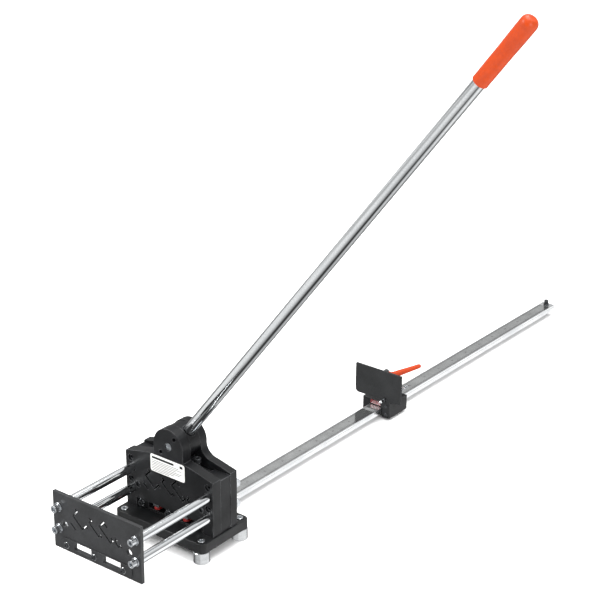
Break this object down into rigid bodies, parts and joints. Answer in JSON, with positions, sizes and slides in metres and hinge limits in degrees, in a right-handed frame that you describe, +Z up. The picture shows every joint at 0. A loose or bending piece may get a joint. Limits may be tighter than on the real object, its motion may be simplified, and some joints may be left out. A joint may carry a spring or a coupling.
{
  "type": "mounting rail cutter and punch",
  "caption": "Hand-lever bench cutter and hole punch for standard mounting rails, with a guide plate on rods, a measuring rail and a sliding length stop.",
  "frame": {"origin": "centre of the four feet, on the surface they stand on", "axes": "+X to the side the lever falls to, +Y back along the measuring rail, +Z up"},
  "size_m": [0.7259, 1.4138, 0.9864],
  "materials": {
    "black_steel": "satin, blackened steel",
    "base_black": "satin black",
    "tool_steel": "ground tool steel",
    "zinc_steel": "bright zinc-plated steel",
    "black_screws": "blackened screws",
    "chromed_rod": "polished chromed steel",
    "foot_aluminium": "turned aluminium",
    "rail_aluminium": "drawn and anodised aluminium",
    "scale_band": "etched scale",
    "bronze": "bearing bronze",
    "orange_plastic": "matte orange plastic",
    "red_plastic": "red plastic",
    "red_urethane": "red polyurethane",
    "label_white": "white label with a black border",
    "black_plastic": "black plastic"
  },
  "bodies": {
    "frame": {"base_plate": "base_black", "feet": "foot_aluminium", "foot_screws": "zinc_steel", "block_bolts": "black_screws", "front_die_plate": "black_steel", "rear_die_plate": "black_steel", "spacer_left": "black_steel", "spacer_right": "black_steel", "clamp_screws": "black_screws", "dowel_pins": "tool_steel", "pivot_pin": "zinc_steel", "pivot_clips": "black_screws", "guide_rods": "chromed_rod", "rod_nuts": "zinc_steel", "rod_washers": "zinc_steel", "rod_screws": "zinc_steel", "guide_plate": "black_steel", "guide_strip": "black_steel", "guide_strip_screws": "zinc_steel", "guide_strip_nuts": "zinc_steel", "rating_label": "label_white", "punch_guide": "black_steel", "punch_guide_screws": "zinc_steel", "punch_guide_washers": "zinc_steel", "punch_die_bar": "tool_steel", "punch_dies": "tool_steel", "measuring_rail": "rail_aluminium", "scale_strip": "scale_band", "rail_screws": "zinc_steel", "support_nut": "black_screws", "return_springs": "tool_steel"},
    "lever": {"lever_hub": "black_steel", "hub_bush": "bronze", "lever_tube": "chromed_rod", "lever_grip": "orange_plastic", "lever_cross_pins": "tool_steel"},
    "blade": {"cutting_blade": "tool_steel", "blade_pad": "tool_steel", "blade_screws": "zinc_steel", "blade_nuts": "zinc_steel", "punch_holder": "tool_steel", "punches": "tool_steel", "strippers": "red_urethane"},
    "stop": {"stop_block": "black_steel", "stop_plate": "black_steel", "stop_plate_screws": "black_screws", "rail_pointer": "red_plastic", "clamp_column": "black_steel", "clamp_shoe": "bronze", "spindle_nut": "black_screws"},
    "clamp": {"clamp_handle": "orange_plastic", "clamp_cap": "black_plastic", "clamp_stud": "zinc_steel"},
    "fine_stop": {"stop_spindle": "zinc_steel", "spindle_knob": "zinc_steel"},
    "rail_support": {"support_screw": "black_screws"}
  },
  "joints": [
    {"name": "lever_swing", "type": "hinge", "parent": "frame", "child": "lever", "pos_m": [0, 0.002, 0.1745], "axis": [0, 1, 0], "range_deg": [0, 60]},
    {"name": "blade_slide", "type": "slide", "parent": "frame", "child": "blade", "axis": [0, 0, -1], "range_m": [0, 0.00502], "deforming": ["return_springs"]},
    {"name": "stop_slide", "type": "slide", "parent": "frame", "child": "stop", "axis": [0, 1, 0], "range_m": [-0.47, 0.55]},
    {"name": "clamp_turn", "type": "hinge", "parent": "stop", "child": "clamp", "pos_m": [0, 0.59, 0.062], "axis": [0, 0, 1], "range_deg": [0, 120]},
    {"name": "fine_stop_slide", "type": "slide", "parent": "stop", "child": "fine_stop", "axis": [0, 1, 0], "range_m": [-0.004, 0.008]},
    {"name": "rail_support_slide", "type": "slide", "parent": "frame", "child": "rail_support", "axis": [0, 0, 1], "range_m": [0, 0.006]}
  ],
  "couplings": [
    {"joint": "blade_slide", "follows": "lever_swing", "m_per_rad": 0.004775}
  ]
}
